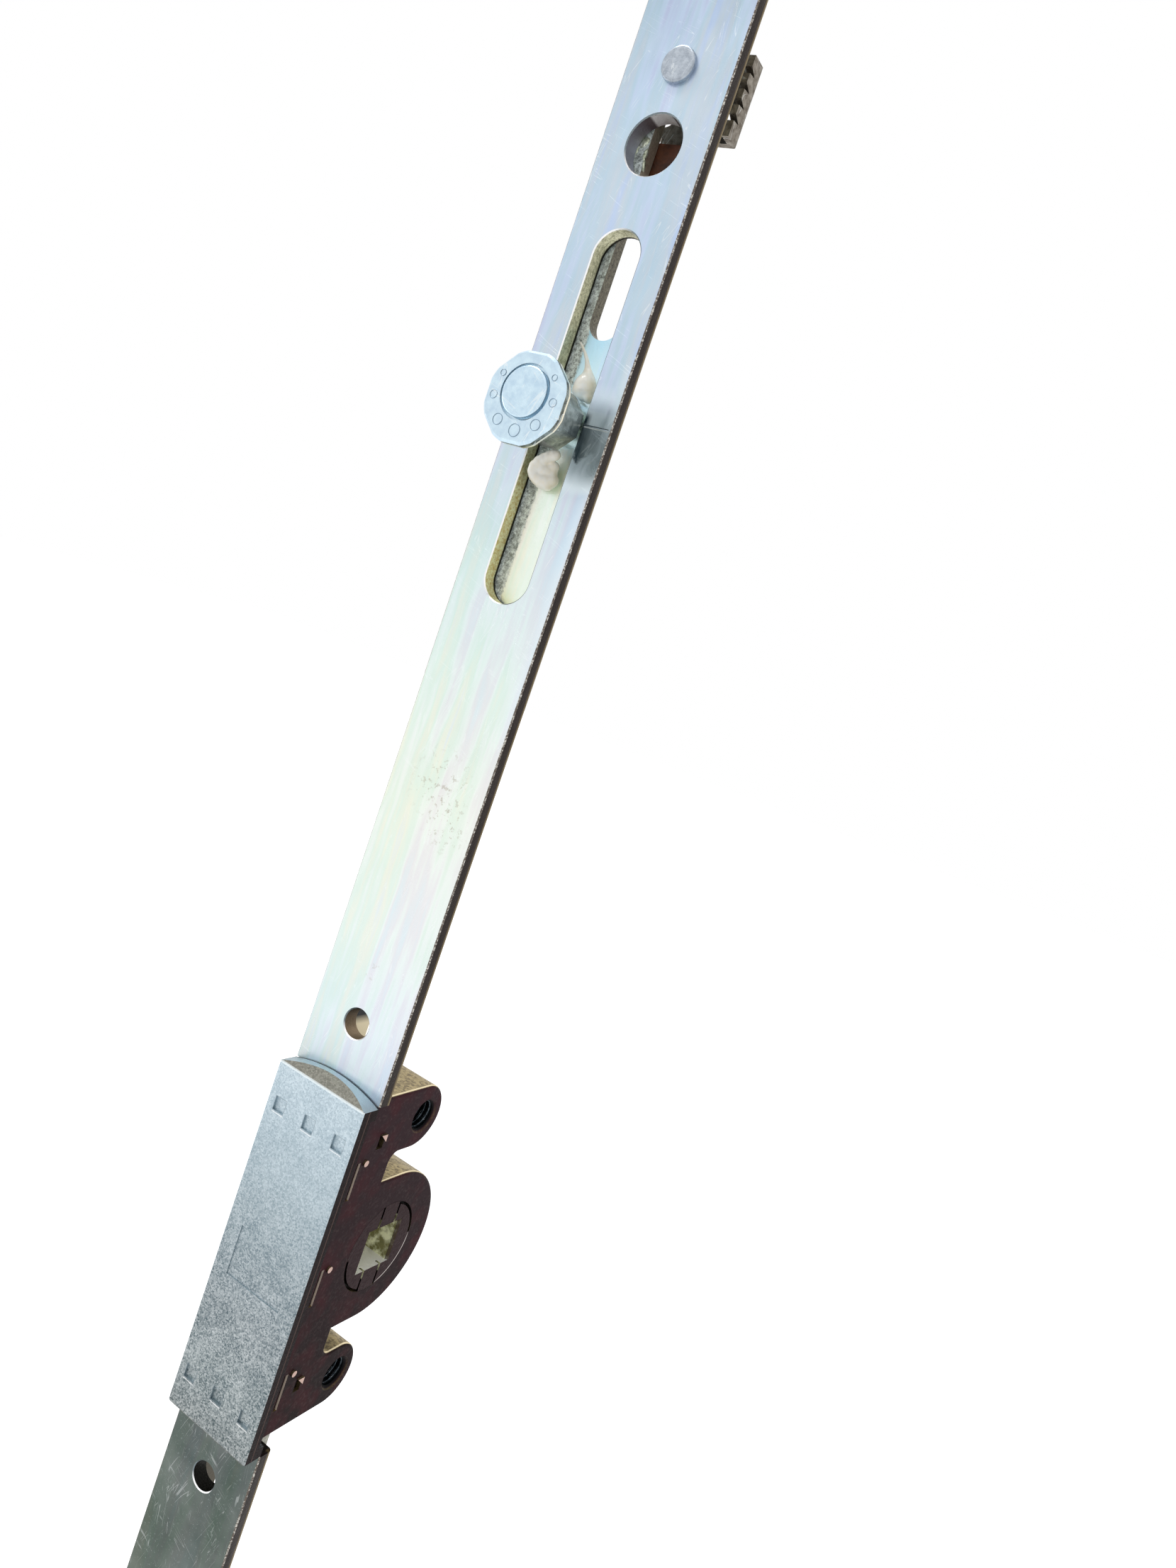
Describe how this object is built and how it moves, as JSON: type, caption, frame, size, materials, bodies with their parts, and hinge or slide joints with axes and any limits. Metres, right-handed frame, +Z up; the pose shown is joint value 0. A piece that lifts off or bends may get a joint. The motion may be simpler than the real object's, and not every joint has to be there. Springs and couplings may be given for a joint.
{
  "type": "multipoint window lock gear",
  "caption": "Slim faceplate with a square spindle hub gearbox that slides a hidden rod; its eccentric mushroom cams travel in faceplate slots to lock a tilt-and-turn sash.",
  "frame": {"origin": "on the spindle axis, midway across the faceplate's width", "axes": "+X along the spindle, across the faceplate; -Y out of the faceplate's front, towards the viewer; +Z up along the faceplate"},
  "size_m": [0.016, 0.0369, 0.41],
  "materials": {
    "faceplate_steel": "zinc plated, satin",
    "cover_casting": "zinc die casting, sparkly grain",
    "casing_casting": "zinc die casting, as cast",
    "hub_casting": "zinc die casting, pale",
    "gear_steel": "greased steel",
    "rod_steel": "zinc plated, greased",
    "rivet_steel": "zinc plated",
    "pin_steel": "plain steel",
    "bracket_steel": "zinc plated, dull",
    "cam_pin_steel": "zinc plated",
    "cam_casting": "zinc plated casting",
    "guide_plastic": "dark brown moulded plastic"
  },
  "bodies": {
    "gearcase": {"casing_body": "casing_casting", "casing_side_plate": "casing_casting", "upper_casing_dowel": "pin_steel", "lower_casing_dowel": "pin_steel", "gearbox_cover": "cover_casting", "upper_cover_stud": "pin_steel", "lower_cover_stud": "pin_steel", "upper_faceplate": "faceplate_steel", "lower_faceplate": "faceplate_steel", "upper_guide_bracket": "bracket_steel", "lower_guide_bracket": "bracket_steel", "upper_guide_rivet": "rivet_steel", "lower_guide_rivet": "rivet_steel", "upper_guide_bush": "rivet_steel", "lower_guide_bush": "rivet_steel", "upper_guide_block": "guide_plastic", "lower_guide_block": "guide_plastic"},
    "hub": {"spindle_hub": "hub_casting", "drive_gear": "gear_steel", "left_thrust_ring": "gear_steel", "right_thrust_ring": "gear_steel"},
    "drive_rod": {"drive_rack": "rod_steel", "upper_rod": "rod_steel", "lower_rod": "rod_steel", "upper_rack_rivet": "rivet_steel", "lower_rack_rivet": "rivet_steel", "upper_cam_pin": "cam_pin_steel", "lower_cam_pin": "cam_pin_steel", "upper_cam_washer": "rivet_steel", "lower_cam_washer": "rivet_steel"},
    "upper_cam": {"upper_cam_head": "cam_casting"},
    "lower_cam": {"lower_cam_head": "cam_casting"}
  },
  "joints": [
    {"name": "hub_turn", "type": "hinge", "parent": "gearcase", "child": "hub", "pos_m": [0, 0, 0], "axis": [1, 0, 0], "range_deg": [-90, 90]},
    {"name": "rod_slide", "type": "slide", "parent": "gearcase", "child": "drive_rod", "axis": [0, 0, 1], "range_m": [-0.01555, 0.01555]},
    {"name": "upper_cam_adjust", "type": "hinge", "parent": "drive_rod", "child": "upper_cam", "pos_m": [0, -0.0195, 0.1213], "axis": [0, -1, 0], "continuous": true},
    {"name": "lower_cam_adjust", "type": "hinge", "parent": "drive_rod", "child": "lower_cam", "pos_m": [0, -0.0195, -0.1213], "axis": [0, -1, 0], "continuous": true}
  ],
  "couplings": [
    {"joint": "hub_turn", "follows": "rod_slide", "rad_per_m": -101.01}
  ]
}
